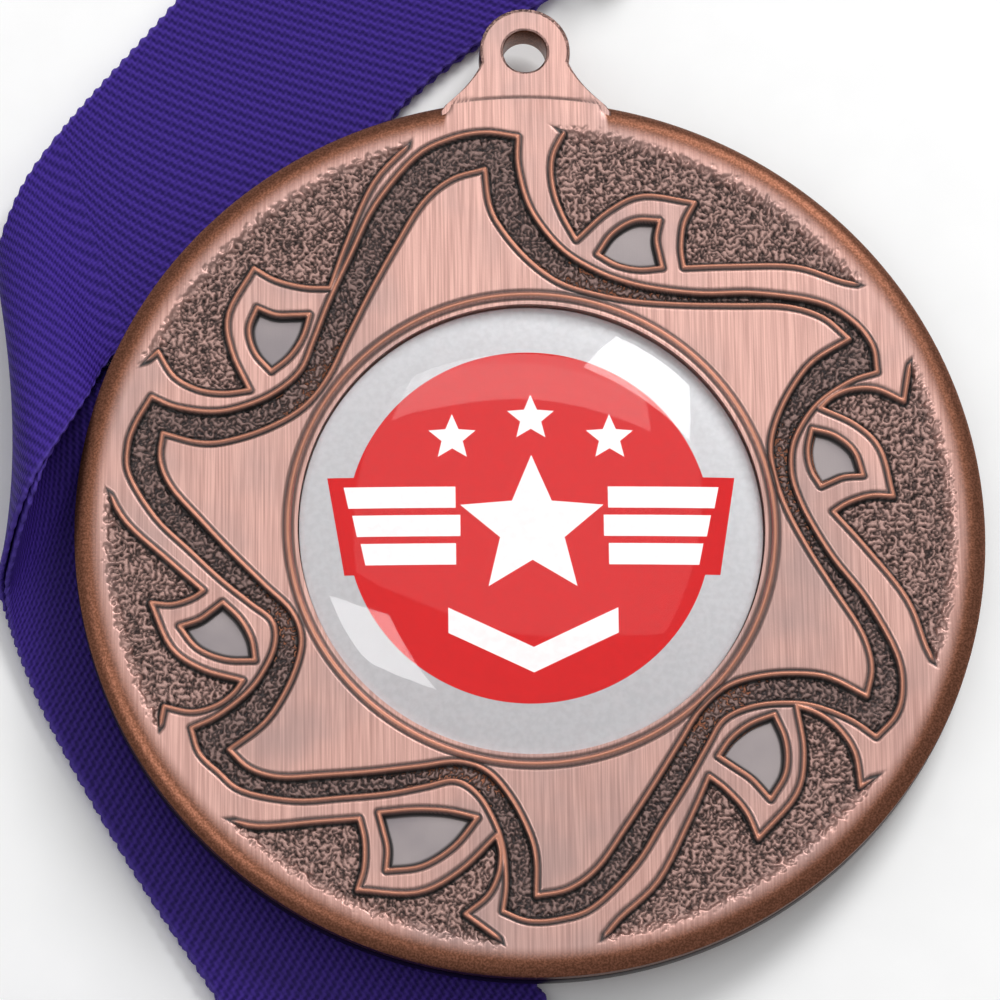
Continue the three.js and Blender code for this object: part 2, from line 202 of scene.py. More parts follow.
def signed_distance(points, outline, ray):
    """Distances in mm from points on one ray's share of the face to an outline, below zero inside it."""
    middle = math.radians(RAY_TIPS[ray] - ray_span(ray) / 2)

    def turned(p):
        return (np.arctan2(p[:, 1], p[:, 0]) - middle + math.pi) % (2 * math.pi) - math.pi

    close = np.abs(turned(outline)) < math.radians(50)
    start, end = outline[close], np.roll(outline, -1, axis=0)[close]
    leg = end - start
    length = np.maximum((leg ** 2).sum(1), 1e-12)
    start_turn, end_turn = turned(start), turned(end)
    start_out, end_out = np.hypot(*start.T), np.hypot(*end.T)
    rise = (end_out - start_out) / np.where(start_turn == end_turn, 1, end_turn - start_turn)
    nearest = np.empty(len(points))
    crossings = np.empty(len(points), int)
    for first in range(0, len(points), 4096):
        part = slice(first, first + 4096)
        x, y = (points[part, k, None] - start[:, k] for k in (0, 1))
        along = np.clip((x * leg[:, 0] + y * leg[:, 1]) / length, 0, 1)
        nearest[part] = ((x - along * leg[:, 0]) ** 2 + (y - along * leg[:, 1]) ** 2).min(1)
        at = turned(points[part])[:, None]
        spans = (start_turn > at) != (end_turn > at)
        beyond = start_out + (at - start_turn) * rise > np.hypot(*points[part].T)[:, None]
        crossings[part] = (spans & beyond).sum(1)
    return np.sqrt(nearest) * np.where(crossings % 2 == 1, -1.0, 1.0)


def eased(low, high, value):
    """0 at low to 1 at high, or the other way round."""
    t = np.clip((value - low) / (high - low), 0, 1)
    return t * t * (3 - 2 * t)


def random_hills(x, y, cell, seed):
    """Smooth random heights, about -1 to 1, with hills cell mm apart."""
    turns = np.random.default_rng(seed).uniform(0, 2 * math.pi, (256, 256))
    gx, gy = x / cell, y / cell
    ix, iy = np.floor(gx).astype(int), np.floor(gy).astype(int)
    fx, fy = gx - ix, gy - iy
    sx, sy = fx ** 3 * (fx * (6 * fx - 15) + 10), fy ** 3 * (fy * (6 * fy - 15) + 10)

    def corner(dx, dy):
        turn = turns[(ix + dx) % 256, (iy + dy) % 256]
        return np.cos(turn) * (fx - dx) + np.sin(turn) * (fy - dy)

    low = corner(0, 0) * (1 - sx) + corner(1, 0) * sx
    high = corner(0, 1) * (1 - sx) + corner(1, 1) * sx
    return 1.6 * (low * (1 - sy) + high * sy)


# ---- meshes ----
def piece(name, shape, place, material, body):
    """Turns a bmesh into a finished piece at the origin, with its place in its mesh."""
    bmesh.ops.remove_doubles(shape, verts=shape.verts, dist=1e-4)
    bmesh.ops.recalc_face_normals(shape, faces=shape.faces)
    bmesh.ops.transform(shape, matrix=place, verts=shape.verts)
    mesh = bpy.data.meshes.new(name)
    shape.to_mesh(mesh)
    shape.free()
    mesh.polygons.foreach_set("use_smooth", [True] * len(mesh.polygons))
    mesh.materials.append(material)
    made = bpy.data.objects.new(name, mesh)
    bpy.context.scene.collection.objects.link(made)
    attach(made, body)
    return made


def keep_value(shape, name, values):
    """Stores a number at each vertex, for the material to read."""
    layer = shape.verts.layers.float.get(name) or shape.verts.layers.float.new(name)
    for vertex, value in zip(shape.verts, values):
        vertex[layer] = value


def unit_grid(columns, rows):
    """A flat grid of faces, with each vertex's place in it from 0 to 1."""
    shape = bmesh.new()
    bmesh.ops.create_grid(shape, x_segments=columns, y_segments=rows, size=0.5)
    places = np.array([v.co[:2] for v in shape.verts]) + 0.5
    return shape, places[:, 0], places[:, 1]


def move_to(shape, points):
    for vertex, point in zip(shape.verts, points):
        vertex.co = point


def around(values, count):
    """Whole-number steps of a place from 0 to 1 in a grid with that many faces."""
    return np.rint(values * count).astype(int)


def spun(profile, steps):
    """A closed shape turned about Z from (radius, height) points that start and end on it."""
    shape = bmesh.new()
    verts = [shape.verts.new((radius, 0, height)) for radius, height in profile]
    edges = [shape.edges.new(pair) for pair in zip(verts, verts[1:])]
    bmesh.ops.spin(shape, geom=verts + edges, cent=(0, 0, 0), axis=(0, 0, 1), angle=2 * math.pi,
                   steps=steps, use_merge=True)
    return shape


def swept(rings, closed_along=False):
    """A tube through rings of points, an array of (rings, points, 3). Open ends are shut."""
    rings = np.asarray(rings, float)
    if closed_along:
        rings = np.concatenate([rings, rings[:1]])
    else:
        ends = [np.repeat(rings[k].mean(0, keepdims=True), rings.shape[1], axis=0) for k in (0, -1)]
        rings = np.concatenate([ends[:1], rings, ends[1:]])
    rings = np.concatenate([rings, rings[:, :1]], axis=1)
    shape, across, along = unit_grid(rings.shape[1] - 1, rings.shape[0] - 1)
    move_to(shape, rings[around(along, rings.shape[0] - 1), around(across, rings.shape[1] - 1)])
    return shape


def catmull(points, steps):
    """A smooth open line through points."""
    p = np.asarray(points, float)
    p = np.vstack([2 * p[0] - p[1], p, 2 * p[-1] - p[-2]])
    t = np.linspace(0, 1, steps, endpoint=False)[:, None]
    line = [0.5 * (2 * p[i] + (p[i + 1] - p[i - 1]) * t
                   + (2 * p[i - 1] - 5 * p[i] + 4 * p[i + 1] - p[i + 2]) * t ** 2
                   + (3 * p[i] - p[i - 1] - 3 * p[i + 1] + p[i + 2]) * t ** 3)
            for i in range(1, len(p) - 2)]
    return np.vstack(line + [p[-2]])


def tube(line, radius, sides, up):
    """Rings round a line, for a wire or a thread."""
    line = np.asarray(line, float)
    ahead = np.gradient(line, axis=0)
    ahead /= np.linalg.norm(ahead, axis=1)[:, None]
    side = np.cross(ahead, up)
    side /= np.linalg.norm(side, axis=1)[:, None]
    over = np.cross(side, ahead)
    turn = np.linspace(0, 2 * math.pi, sides, endpoint=False)
    return (line[:, None] + radius * np.cos(turn)[None, :, None] * side[:, None]
            + radius * np.sin(turn)[None, :, None] * over[:, None])


# ---- materials ----
def linear(colour):
    """sRGB hex to linear RGBA."""
    channels = [int(colour[i:i + 2], 16) / 255 for i in (1, 3, 5)]
    return tuple(c / 12.92 if c <= 0.04045 else ((c + 0.055) / 1.055) ** 2.4 for c in channels) + (1.0,)


def add(tree, kind, links=None, sockets=None, **settings):
    """Adds a node: its own settings, values for its sockets, and links from other sockets."""
    made = tree.nodes.new(kind)
    for key, value in settings.items():
        setattr(made, key, value)
    for key, value in (sockets or {}).items():
        made.inputs[key].default_value = value
    for key, source in (links or {}).items():
        tree.links.new(source, made.inputs[key])
    return made


def new_material(name):
    made = bpy.data.materials.new(name)
    made.use_nodes = True
    made.node_tree.nodes.clear()
    return made, made.node_tree


def show(tree, shader):
    add(tree, "ShaderNodeOutputMaterial", {"Surface": shader.outputs[0]})


def value_of(tree, name):
    """A vertex attribute's number."""
    return add(tree, "ShaderNodeAttribute", attribute_name=name).outputs["Fac"]


def ranged(tree, source, low, high, to_low=0.0, to_high=1.0):
    """A number eased from one range to another."""
    made = add(tree, "ShaderNodeMapRange", {"Value": source}, interpolation_type="SMOOTHSTEP")
    for key, value in (("From Min", low), ("From Max", high), ("To Min", to_low), ("To Max", to_high)):
        made.inputs[key].default_value = value
    return made.outputs["Result"]


def maths(tree, operation, first, second):
    made = tree.nodes.new("ShaderNodeMath")
    made.operation = operation
    for socket, source in zip(made.inputs, (first, second)):
        if isinstance(source, (int, float)):
            socket.default_value = source
        else:
            tree.links.new(source, socket)
    return made.outputs[0]


def mixed(tree, amount, first, second):
    """Two colours mixed by a number; each is a socket or a hex colour."""
    made = add(tree, "ShaderNodeMix", data_type="RGBA")
    tree.links.new(amount, made.inputs[0])
    for socket, source in ((made.inputs[6], first), (made.inputs[7], second)):
        if isinstance(source, str):
            socket.default_value = linear(source)
        else:
            tree.links.new(source, socket)
    return made.outputs[2]


def stretched_coords(tree, scale):
    """Object coordinates scaled per axis, in pattern repeats a metre."""
    coords = add(tree, "ShaderNodeTexCoord")
    mapping = add(tree, "ShaderNodeMapping", {"Vector": coords.outputs["Object"]})
    mapping.inputs["Scale"].default_value = scale
    return mapping.outputs["Vector"]


def noise(tree, vector, detail=3.0, scale=1.0):
    made = add(tree, "ShaderNodeTexNoise", {"Vector": vector}, {"Scale": scale, "Detail": detail})
    return made.outputs["Fac"]


def bumped(tree, height, distance, strength=1.0):
    made = add(tree, "ShaderNodeBump", {"Height": height}, {"Distance": distance, "Strength": strength})
    return made.outputs[0]


def antique_bronze():
    """Copper-plated zinc casting: black patina wiped off its high parts, which are brushed up and down. Its
    outer wall is darkened by painted shade, and the dark lines by the ridges widen on their low side by
    painted shadow.
    """
    made, tree = new_material("antique_bronze")
    line_patina_and_shade = value_of(tree, "line_patina_and_shade")
    crest = value_of(tree, "crest")
    recess = value_of(tree, "recess")
    channel = value_of(tree, "channel")
    window = value_of(tree, "window")
    worms = value_of(tree, "worms")
    rim = value_of(tree, "rim")
    # Brush strokes 0.1 mm wide and 6 mm long.
    strokes = noise(tree, stretched_coords(tree, (10000, 170, 10000)), 4.0)
    # Cloudy wear, 6 mm across.
    cloud = noise(tree, stretched_coords(tree, (160, 160, 160)), 3.0)
    fine = noise(tree, stretched_coords(tree, (9000, 9000, 9000)), 2.0)
    worn_metal_and_shade = mixed(tree, ranged(tree, strokes, 0.25, 0.75), "#b0887f", "#d8aca1")
    worn_metal_and_shade = mixed(tree, ranged(tree, cloud, 0.4, 0.75, 0.0, 0.5), worn_metal_and_shade, "#8f807f")
    brown = mixed(tree, ranged(tree, fine, 0.35, 0.7), "#66402f", "#8c5b47")
    worn_metal_and_shade = mixed(tree, ranged(tree, rim, 23.3, 24.2), worn_metal_and_shade, brown)
    # Painted shade: the outer wall, and the face's edge just inside it, turn near-black as if in shadow.
    worn_metal_and_shade = mixed(tree, ranged(tree, rim, 24.9, 25.2), worn_metal_and_shade, "#2b2120")
    pebble = mixed(tree, worms, "#1b1718", "#c09c93")
    pebble = mixed(tree, ranged(tree, fine, 0.3, 0.7, 0.0, 0.4), pebble, "#6a5a57")
    pebble = mixed(tree, maths(tree, "MULTIPLY", channel, 0.45), pebble, "#3a3b3e")
    floor_colour = mixed(tree, ranged(tree, cloud, 0.3, 0.7), "#8f878a", "#a99f9f")
    base = mixed(tree, recess, worn_metal_and_shade, mixed(tree, window, pebble, floor_colour))
    base = mixed(tree, crest, base, "#b67d68")
    # Dark lines by the ridges: patina in their grooves, plus painted shadow where they widen on the low
    # side.
    base = mixed(tree, maths(tree, "MULTIPLY", line_patina_and_shade, 0.97), base, "#0f0b0d")
    height = maths(tree, "ADD", maths(tree, "MULTIPLY", strokes, 0.55), maths(tree, "MULTIPLY", fine, 0.5))
    shader = add(tree, "ShaderNodeBsdfPrincipled", {
        "Base Color": base,
        "Roughness": ranged(tree, recess, 0.0, 1.0, 0.36, 0.55),
        "Metallic": ranged(tree, line_patina_and_shade, 0.0, 1.0, 0.9, 0.0),
        "Normal": bumped(tree, height, 0.000015, 0.5),
    })
    show(tree, shader)
    return made


def clear_resin():
    """Poured clear epoxy. Lamps shine through to the print below."""
    made, tree = new_material("clear_epoxy_resin")
    # Faint waves, 8 mm across, left as the resin set.
    waves = noise(tree, stretched_coords(tree, (120, 120, 120)), 1.0)
    glass = add(tree, "ShaderNodeBsdfPrincipled", {"Normal": bumped(tree, waves, 0.00004, 0.4)}, {
        "Base Color": (1, 1, 1, 1), "Roughness": 0.03, "IOR": 1.5, "Transmission Weight": 1.0})
    clear = add(tree, "ShaderNodeBsdfTransparent")
    shadow = add(tree, "ShaderNodeLightPath").outputs["Is Shadow Ray"]
    mix = add(tree, "ShaderNodeMixShader", {0: shadow, 1: glass.outputs[0], 2: clear.outputs[0]})
    show(tree, mix)
    return made


def plain_material(name, colour, shade, grain, depth, roughness, **sockets):
    """A mostly even finish with a fine grain, grain repeats a metre and depth metres deep."""
    made, tree = new_material(name)
    speckle = noise(tree, stretched_coords(tree, (grain, grain, grain)), 3.0)
    base = mixed(tree, ranged(tree, speckle, 0.3, 0.7), shade, colour)
    values = {"Roughness": roughness}
    values.update({key.replace("_", " "): value for key, value in sockets.items()})
    shader = add(tree, "ShaderNodeBsdfPrincipled",
                 {"Base Color": base, "Normal": bumped(tree, speckle, depth, 0.5)}, values)
    show(tree, shader)
    return made


def woven_polyester():
    """Purple polyester tape, twill woven, with a satin sheen."""
    made, tree = new_material("woven_polyester_tape")
    along = value_of(tree, "along")
    across = value_of(tree, "across")
    flank = maths(tree, "ABSOLUTE", across, 0.0)
    # Twill ribs 0.55 mm apart, running diagonally, crossed by threads 0.28 mm apart.
    diagonal = maths(tree, "ADD", maths(tree, "MULTIPLY", along, 1.9), maths(tree, "MULTIPLY", across, 1.05))
    rib = maths(tree, "SINE", maths(tree, "MULTIPLY", diagonal, 2 * math.pi * 0.95), 0.0)
    thread = maths(tree, "SINE", maths(tree, "MULTIPLY", across, 2 * math.pi * 3.4), 0.0)
    pick = maths(tree, "SINE", maths(tree, "MULTIPLY", along, 2 * math.pi * 3.4), 0.0)
    weave = maths(tree, "ADD", maths(tree, "MULTIPLY", rib, 0.5), maths(tree, "MULTIPLY", thread, 0.3))
    weave = maths(tree, "ADD", weave, maths(tree, "MULTIPLY", pick, 0.2))
    fibre = noise(tree, stretched_coords(tree, (7000, 7000, 7000)), 2.0)
    height = maths(tree, "ADD", weave, maths(tree, "MULTIPLY", fibre, 0.8))
    base = mixed(tree, ranged(tree, height, -0.6, 1.3), "#200f58", "#412a8c")
    edge = ranged(tree, flank, 7.1, 7.45)
    base = mixed(tree, maths(tree, "MULTIPLY", edge, 0.6), base, "#55429f")
    shader = add(tree, "ShaderNodeBsdfPrincipled",
                 {"Base Color": base, "Normal": bumped(tree, height, 0.00006, 0.6)},
                 {"Roughness": 0.62, "Sheen Weight": 0.03, "Sheen Roughness": 0.4,
                  "Sheen Tint": linear("#8f7fd8"), "Specular IOR Level": 0.12})
    show(tree, shader)
    return made


# ---- medal ----
OUTLINES = {
    "sun": star_outline(SUN_EDGE, ("tip",), 1.0),
    "inner": star_outline(BAND_INNER_EDGE, ("collar",), 1.8),
    "outer": star_outline(BAND_OUTER_EDGE, ("lick", "valley", "fin", "notch")),
}


def face_relief(points, ray):
    """Heights in mm, and values for the material, of points on one ray's share of the face."""
    radius = np.hypot(points[:, 0], points[:, 1])
    sun, inner, outer = (signed_distance(points, OUTLINES[name], ray) for name in ("sun", "inner", "outer"))
    window = signed_distance(points, window_outline(ray), ray)
    channel = np.minimum(sun, -inner)
    hills = random_hills(points[:, 0], points[:, 1], 0.36, 3)
    hills += 0.55 * random_hills(points[:, 0], points[:, 1], 0.2, 5)
    beyond = np.minimum(outer, 0.3 * (GROUND_RADIUS + 0.15 - radius) + 0.1 * hills)
    low = np.max([channel, beyond, -window, np.zeros(len(points))], axis=0)
    outer_ridge = np.abs(outer) + 0.5 * np.maximum(0, radius - GROUND_RADIUS + 0.5)
    ridge = np.min([np.abs(sun), np.abs(inner), outer_ridge, np.abs(window)], axis=0)
    bead = np.abs(radius - BEAD_RADIUS)
    smooth_floor = eased(0.0, 0.2, -window)
    wall = eased(0.04, 0.26, low)
    worms = eased(0.02, 0.42, np.abs(hills))
    height = PLAIN_Z - wall * (GROUND_DEPTH - 0.15 * (1 - smooth_floor) * worms)
    crest = np.sqrt(np.clip(1 - (ridge / (RIDGE_HALF + 0.04)) ** 2, 0, 1))
    height += crest * (PLAIN_Z + RIDGE_HEIGHT - height)
    height -= 0.07 * np.exp(-((ridge - RIDGE_HALF - 0.09) / 0.06) ** 2)
    ring = np.sqrt(np.clip(1 - (bead / 0.18) ** 2, 0, 1))
    height += ring * (PLAIN_Z + 0.13 - height)
    height -= 0.07 * np.exp(-((bead - 0.25) / 0.06) ** 2)
    drop = np.clip((radius - SHOULDER_START) / (FACE_EDGE + 0.2 - SHOULDER_START), 0, 1)
    shoulder = 1 - eased(4.7, 4.0, np.abs(points[:, 0])) * (points[:, 1] > 0)
    height -= SHOULDER_DROP * (1 - np.sqrt(1 - drop ** 2)) * shoulder
    # Dark lines beside the ridges and the bead: patina in the grooves, widened on the low side by painted
    # shadow.
    painted_shadow_side = eased(-0.1, 0.2, low - 0.1)
    line_patina_and_shade = np.exp(-np.clip((np.abs(ridge - 0.2) - 0.02 - 0.04 * painted_shadow_side) / 0.05, 0, None) ** 2)
    cool = eased(0.0, 0.4, channel)
    bead_lines = np.exp(-((bead - 0.25) / 0.07) ** 2)
    line_patina_and_shade = np.max([line_patina_and_shade, 0.9 * bead_lines], axis=0)
    return height, {
        "line_patina_and_shade": line_patina_and_shade,
        "crest": eased(0.14, 0.06, np.minimum(ridge, bead)),
        "recess": wall,
        "channel": cool,
        "window": smooth_floor,
        "worms": worms,
        "rim": np.where(shoulder < 1, PLAIN_RIM + (radius - PLAIN_RIM) * shoulder, radius),
    }


def face_sector(ray, material):
    """One sixth of the face, with its relief, and a skirt that sinks into the casting below."""
    span = math.radians(ray_span(ray))
    columns = round(20 * span / FACE_STEP)
    rows = round((FACE_EDGE - SEAT_RADIUS) / FACE_STEP)
    shape, across, along = unit_grid(columns, rows)
    angle = math.radians(RAY_TIPS[ray]) - span * across
    radius = FACE_EDGE + (SEAT_RADIUS - FACE_EDGE) * along
    points = np.column_stack([radius * np.cos(angle), radius * np.sin(angle)])
    height, values = face_relief(points, ray)
    move_to(shape, np.column_stack([points, height]))
    for name, numbers in values.items():
        keep_value(shape, name, numbers)
    border = [e for e in shape.edges if e.is_boundary]
    for edge in border:
        edge.smooth = False
    skirt = bmesh.ops.extrude_edge_only(shape, edges=border)["geom"]
    for vertex in skirt:
        if isinstance(vertex, bmesh.types.BMVert):
            vertex.co.z = FACE_FOOT
    bmesh.ops.holes_fill(shape, edges=[e for e in shape.edges if e.is_boundary], sides=0)
    made = piece(f"medal_face_{ray + 1}", shape, MEDAL_PLACE, material, "medal")
    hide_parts("medal_body")


def bare_metal(shape, rim):
    """Material values for plain parts of the casting, with a rim value for each vertex."""
    for name in ("line_patina_and_shade", "crest", "recess", "channel", "window", "worms"):
        keep_value(shape, name, [0.0] * len(shape.verts))
    keep_value(shape, "rim", rim)


def medal_blank(material):
    """The casting's seat, rim wall and dished back."""
    shape = spun([
        (0, 1.2), (12.6, 1.2), (12.8, 1.25), (12.85, 1.4), (12.85, 2.2), (13.0, 2.28), (24.0, 1.95),
        (24.7, 1.8), (24.93, 1.7), (25.0, 1.5), (25.0, 0.6), (24.95, 0.35), (24.8, 0.15), (24.5, 0.04),
        (24.2, 0.0), (23.4, 0.0), (23.15, 0.06), (23.0, 0.25), (22.9, 0.3), (0, 0.3),
    ], 240)
    reach = [math.hypot(*v.co[:2]) for v in shape.verts]
    # The outer wall gets the rim value of the painted shade; the rest stays worn brown.
    bare_metal(shape, [SHADED_WALL_RIM if abs(r - 25) < 0.08 else BROWN_RIM for r in reach])
    made = piece("medal_blank", shape, MEDAL_PLACE, material, "medal")
    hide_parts("medal_body")


def ear_half_width(y):
    """The ear's outline: its half width at a height above the middle of the medal, below its round head."""
    t = np.clip((y - 24.3) / (EAR_HOLE_Y - 0.7 - 24.3), 0, 1)
    wide, narrow = EAR_HALF_WIDTH + 0.25, EAR_HEAD_RADIUS * 0.97
    return wide + (narrow - wide) * (1.5 * t - 0.5 * t ** 2)


def ear_outline(count):
    """Points round the ear, one for each direction from the hole's middle."""
    turn = np.linspace(0, 2 * math.pi, count, endpoint=False)
    reach = np.full(count, EAR_HEAD_RADIUS)
    for i, angle in enumerate(turn):
        steps = np.linspace(EAR_HEAD_RADIUS, 9, 400)
        x, y = steps * math.cos(angle), EAR_HOLE_Y + steps * math.sin(angle)
        inside = (np.abs(x) < ear_half_width(y)) & (y > 23.2) & (y < EAR_HOLE_Y - 0.5)
        if inside.any():
            reach[i] = steps[inside].max()
    return turn, reach


def medal_ear(material):
    """The flat ear and its drilled hole, with softened edges. A thin arc is cut where it meets the disc."""
    turn, reach = ear_outline(240)
    flat = [(share, 0.16 if share == 0 else 0.2 * (share == 1), 2.49) for share in np.linspace(0, 1, 60)]
    # Each layer: share of the way out, inset, height.
    layers = [(0, 0.0, 1.5), (0, 0.0, 2.3), (0, 0.05, 2.43)] + flat + [
        (1, 0.1, 2.44), (1, 0.03, 2.34), (1, 0.0, 2.15), (1, 0.0, 0.75), (1, 0.04, 0.5), (1, 0.2, 0.35),
        (0.5, 0, 0.3), (0, 0.15, 0.32), (0, 0.03, 0.42), (0, 0.0, 0.6),
    ]
    rings = []
    for share, inset, height in layers:
        away = EAR_HOLE_RADIUS + (reach - EAR_HOLE_RADIUS) * share + (inset if share == 0 else -inset)
        rings.append(np.column_stack([away * np.cos(turn), EAR_HOLE_Y + away * np.sin(turn),
                                      np.full(len(turn), height)]))
    shape = swept(rings, closed_along=True)
    points = np.array([v.co[:] for v in shape.verts])
    cut = np.exp(-((np.hypot(points[:, 0], points[:, 1]) - 25.06) / 0.07) ** 2)
    cut *= (np.abs(points[:, 0]) < 4.1) & (points[:, 2] > 2.4)
    points[:, 2] -= 0.06 * cut
    move_to(shape, points)
    bare_metal(shape, np.where(points[:, 2] > 2.47 - 0.06 * cut, PLAIN_RIM, BROWN_RIM))
    keep_value(shape, "line_patina_and_shade", 0.7 * cut)
    made = piece("medal_ear", shape, MEDAL_PLACE, material, "medal")
    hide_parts("medal_body")


# ---- insert ----
def insert_adhesive():
    tape = plain_material("white_foam_tape", "#e9e7e2", "#d2cfc8", 4000, 0.00003, 0.8)
    side = [(12.35, 1.3), (12.5, 1.36), (12.52, 1.5), (12.5, 1.64), (12.35, 1.7)]
    shape = spun([(0, 1.3)] + side + [(0, 1.7)], 128)
    made = piece("foam_tape_disc", shape, MEDAL_PLACE, tape, "medal")
    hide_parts("insert_adhesive")


def film(name, outline, bottom, top, material):
    """A thin printed shape."""
    shape = bmesh.new()
    verts = [shape.verts.new((x, y, bottom)) for x, y in outline]
    face = shape.faces.new(verts)
    lifted = bmesh.ops.extrude_face_region(shape, geom=[face])["geom"]
    bmesh.ops.translate(shape, verts=[g for g in lifted if isinstance(g, bmesh.types.BMVert)],
                        vec=(0, 0, top - bottom))
    made = piece(name, shape, MEDAL_PLACE, material, "medal")
    for face in made.data.polygons:
        face.use_smooth = False
    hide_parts("printed_disc")


def star_points(x, y, size, inner=0.45):
    """A five-pointed star."""
    turns = [math.pi / 2 + k * math.pi / 5 for k in range(10)]
    sizes = [size if k % 2 == 0 else size * inner for k in range(10)]
    return [(x + s * math.cos(t), y + s * math.sin(t)) for s, t in zip(sizes, turns)]


def wing_points(side, grow):
    """A stripe with a slanted end beside the middle star; grow widens it all round."""
    points = [(3.0 - grow, 2.2 + grow), (10.2 + grow * 1.6, 2.2 + grow), (9.3 + grow * 1.6, -2.2 - grow),
              (3.0 - grow, -2.2 - grow)]
    return [(side * x, y) for x, y in points][::side]


def printed_insert():
    silver = plain_material("silver_printed_card", "#c2c5c8", "#babdc0", 3000, 0.00001, 0.45)
    red = plain_material("red_printing_ink", "#cf0a10", "#c8080e", 2500, 0.00001, 0.5,
                         Specular_IOR_Level=0.1)
    white = plain_material("white_printing_ink", "#fbfbfb", "#f4f4f4", 2500, 0.00001, 0.5)
    edge = [(12.5, 1.8), (12.65, 1.84), (12.7, 1.9), (12.68, 1.96), (12.6, 2.0)]
    shape = spun([(0, 1.8)] + edge + [(0, 2.0)], 160)
    card = piece("printed_card", shape, MEDAL_PLACE, silver, "medal")
    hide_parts("printed_disc")
    turns = np.linspace(0, 2 * math.pi, 160, False)
    circle = [(-0.15 + 9.9 * math.cos(t), 9.9 * math.sin(t)) for t in turns]
    film("print_red_disc", circle, 1.99, 2.006, red)
    for side, name in ((1, "right"), (-1, "left")):
        film(f"print_red_wing_{name}", wing_points(side, 0.55), 1.99, 2.007, red)
        for k, (low, high) in enumerate(((1.0, 2.2), (-0.6, 0.6), (-2.2, -1.0))):
            near, far = 3.9 + 0.25 * abs(k - 1), 10.2 - 0.45 * k
            bar = [(near, low), (near, high), (far, high), (far - 0.25, low)]
            bar = [(side * x, y) for x, y in bar][::side]
            film(f"print_white_bar_{name}_{k + 1}", bar, 1.99, 2.014, white)
    film("print_white_star", star_points(0, -0.1, 4.1), 1.99, 2.015, white)
    for k, x in enumerate((-4.3, 0, 4.3)):
        film(f"print_small_star_{k + 1}", star_points(x, 6.1 - 0.06 * x * x, 1.35), 1.99, 2.014, white)
    chevron = [(-4.6, -4.6), (-4.6, -6.0), (0, -8.2), (4.6, -6.0), (4.6, -4.6), (0, -6.8)]
    film("print_chevron", chevron, 1.99, 2.014, white)


def resin_dome():
    resin = clear_resin()
    # How steeply the dome falls, in degrees, at distances from its middle. Resin pulls in at its edge.
    reach = np.concatenate([np.linspace(0, 11.4, 39), np.linspace(11.5, 12.74, 25)])
    slope = np.interp(reach, (0, 6, 9.2, 10.7, 11.8, 12.3, 12.6, 12.74),
                      (0, 4, 9, 14, 22, 38, 62, 80))
    fall = np.cumsum(np.diff(reach) * np.tan(np.radians((slope[1:] + slope[:-1]) / 2)))
    side = [(r, 4.0 - 1.95 * f / fall[-1]) for r, f in zip(reach[1:], fall)]
    profile = [(0, 1.95), (12.6, 1.95), (12.7, 1.98)] + side[::-1] + [(0, 4.0)]
    made = piece("epoxy_dome", spun(profile, 192), MEDAL_PLACE, resin, "medal")
    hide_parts("resin_dome")


# ---- neck ribbon ----
# Everything below is in the row frame, in mm. The loop of tape lies flattened, so it is a double band.
SHIFT = np.array([medal_origin.x / MM, medal_origin.y / MM])
BAND_REST = 0.42
STRAND_HEADING = math.radians(223.6)
TAPE_WIDTH = 15.0
TAPE_HALF = 0.17
TAPE_GAP = 0.22
# The strand's two edges, from the hem to the hank: how far along, then x, y, z of its outer edge
# and of its inner edge.
STRAND_EDGES = np.array((
    (0, -7.0, 44.3, 0.42, 3.4, 33.5, 0.42), (10, -14.7, 38.2, 0.42, -5.8, 26.7, 0.6),
    (20, -20.9, 30.8, 0.5, -12.7, 18.5, 0.9), (30, -26.2, 24.0, 1.4, -22.4, 11.3, 1.3),
    (35, -28.6, 19.6, 2.0, -24.7, 6.8, 4.0), (40, -29.2, 15.4, 1.7, -26.8, 2.2, 6.0),
    (45, -27.0, 12.0, 0.7, -28.4, -1.4, 3.8), (50, -22.4, 9.6, 0.42, -28.9, -3.6, 0.9),
    (60, -15.0, 0.0, 0.42, -26.7, -9.5, 0.5), (70, -9.5, -9.8, 0.42, -22.1, -17.8, 0.42),
    (80, -4.2, -18.3, 0.42, -16.7, -26.2, 0.42), (90, 1.3, -26.8, 0.42, -11.4, -34.9, 0.42),
))
STRAND_LENGTH = 90
LOWER_HEADING = math.radians(302.6)
TURN_POINT = np.array([2.6, -42.8]) + SHIFT
TURN_HEADING = math.radians(61.3)
HANK_LEFT = -33.66 + SHIFT[0]
HANK_RIGHT = 0.66 + SHIFT[0]
HANK_PITCH = 0.9
HANK_FIRST = 115
HANK_RUN = 35.7
BAND_LENGTH = 391.0


def folded_up(band, past, at, heading, radius):
    """Rolls what lies to the right of a line up and over onto itself."""
    plan, up, normal = band
    out = np.array([math.sin(heading), -math.cos(heading)])
    reach = (plan - at) @ out
    moved = past & (reach > 0)
    turn = np.clip(reach / radius, 0, math.pi)
    outward = radius * np.sin(turn) - np.maximum(0, reach - math.pi * radius)
    facing = np.sign(normal[:, 2])[:, None]
    turned = facing * np.column_stack([-np.sin(turn)[:, None] * out, np.cos(turn)])
    return (np.where(moved[:, None], plan + (outward - reach)[:, None] * out, plan),
            np.where(moved, up + radius * (1 - np.cos(turn)), up), np.where(moved[:, None], turned, normal))


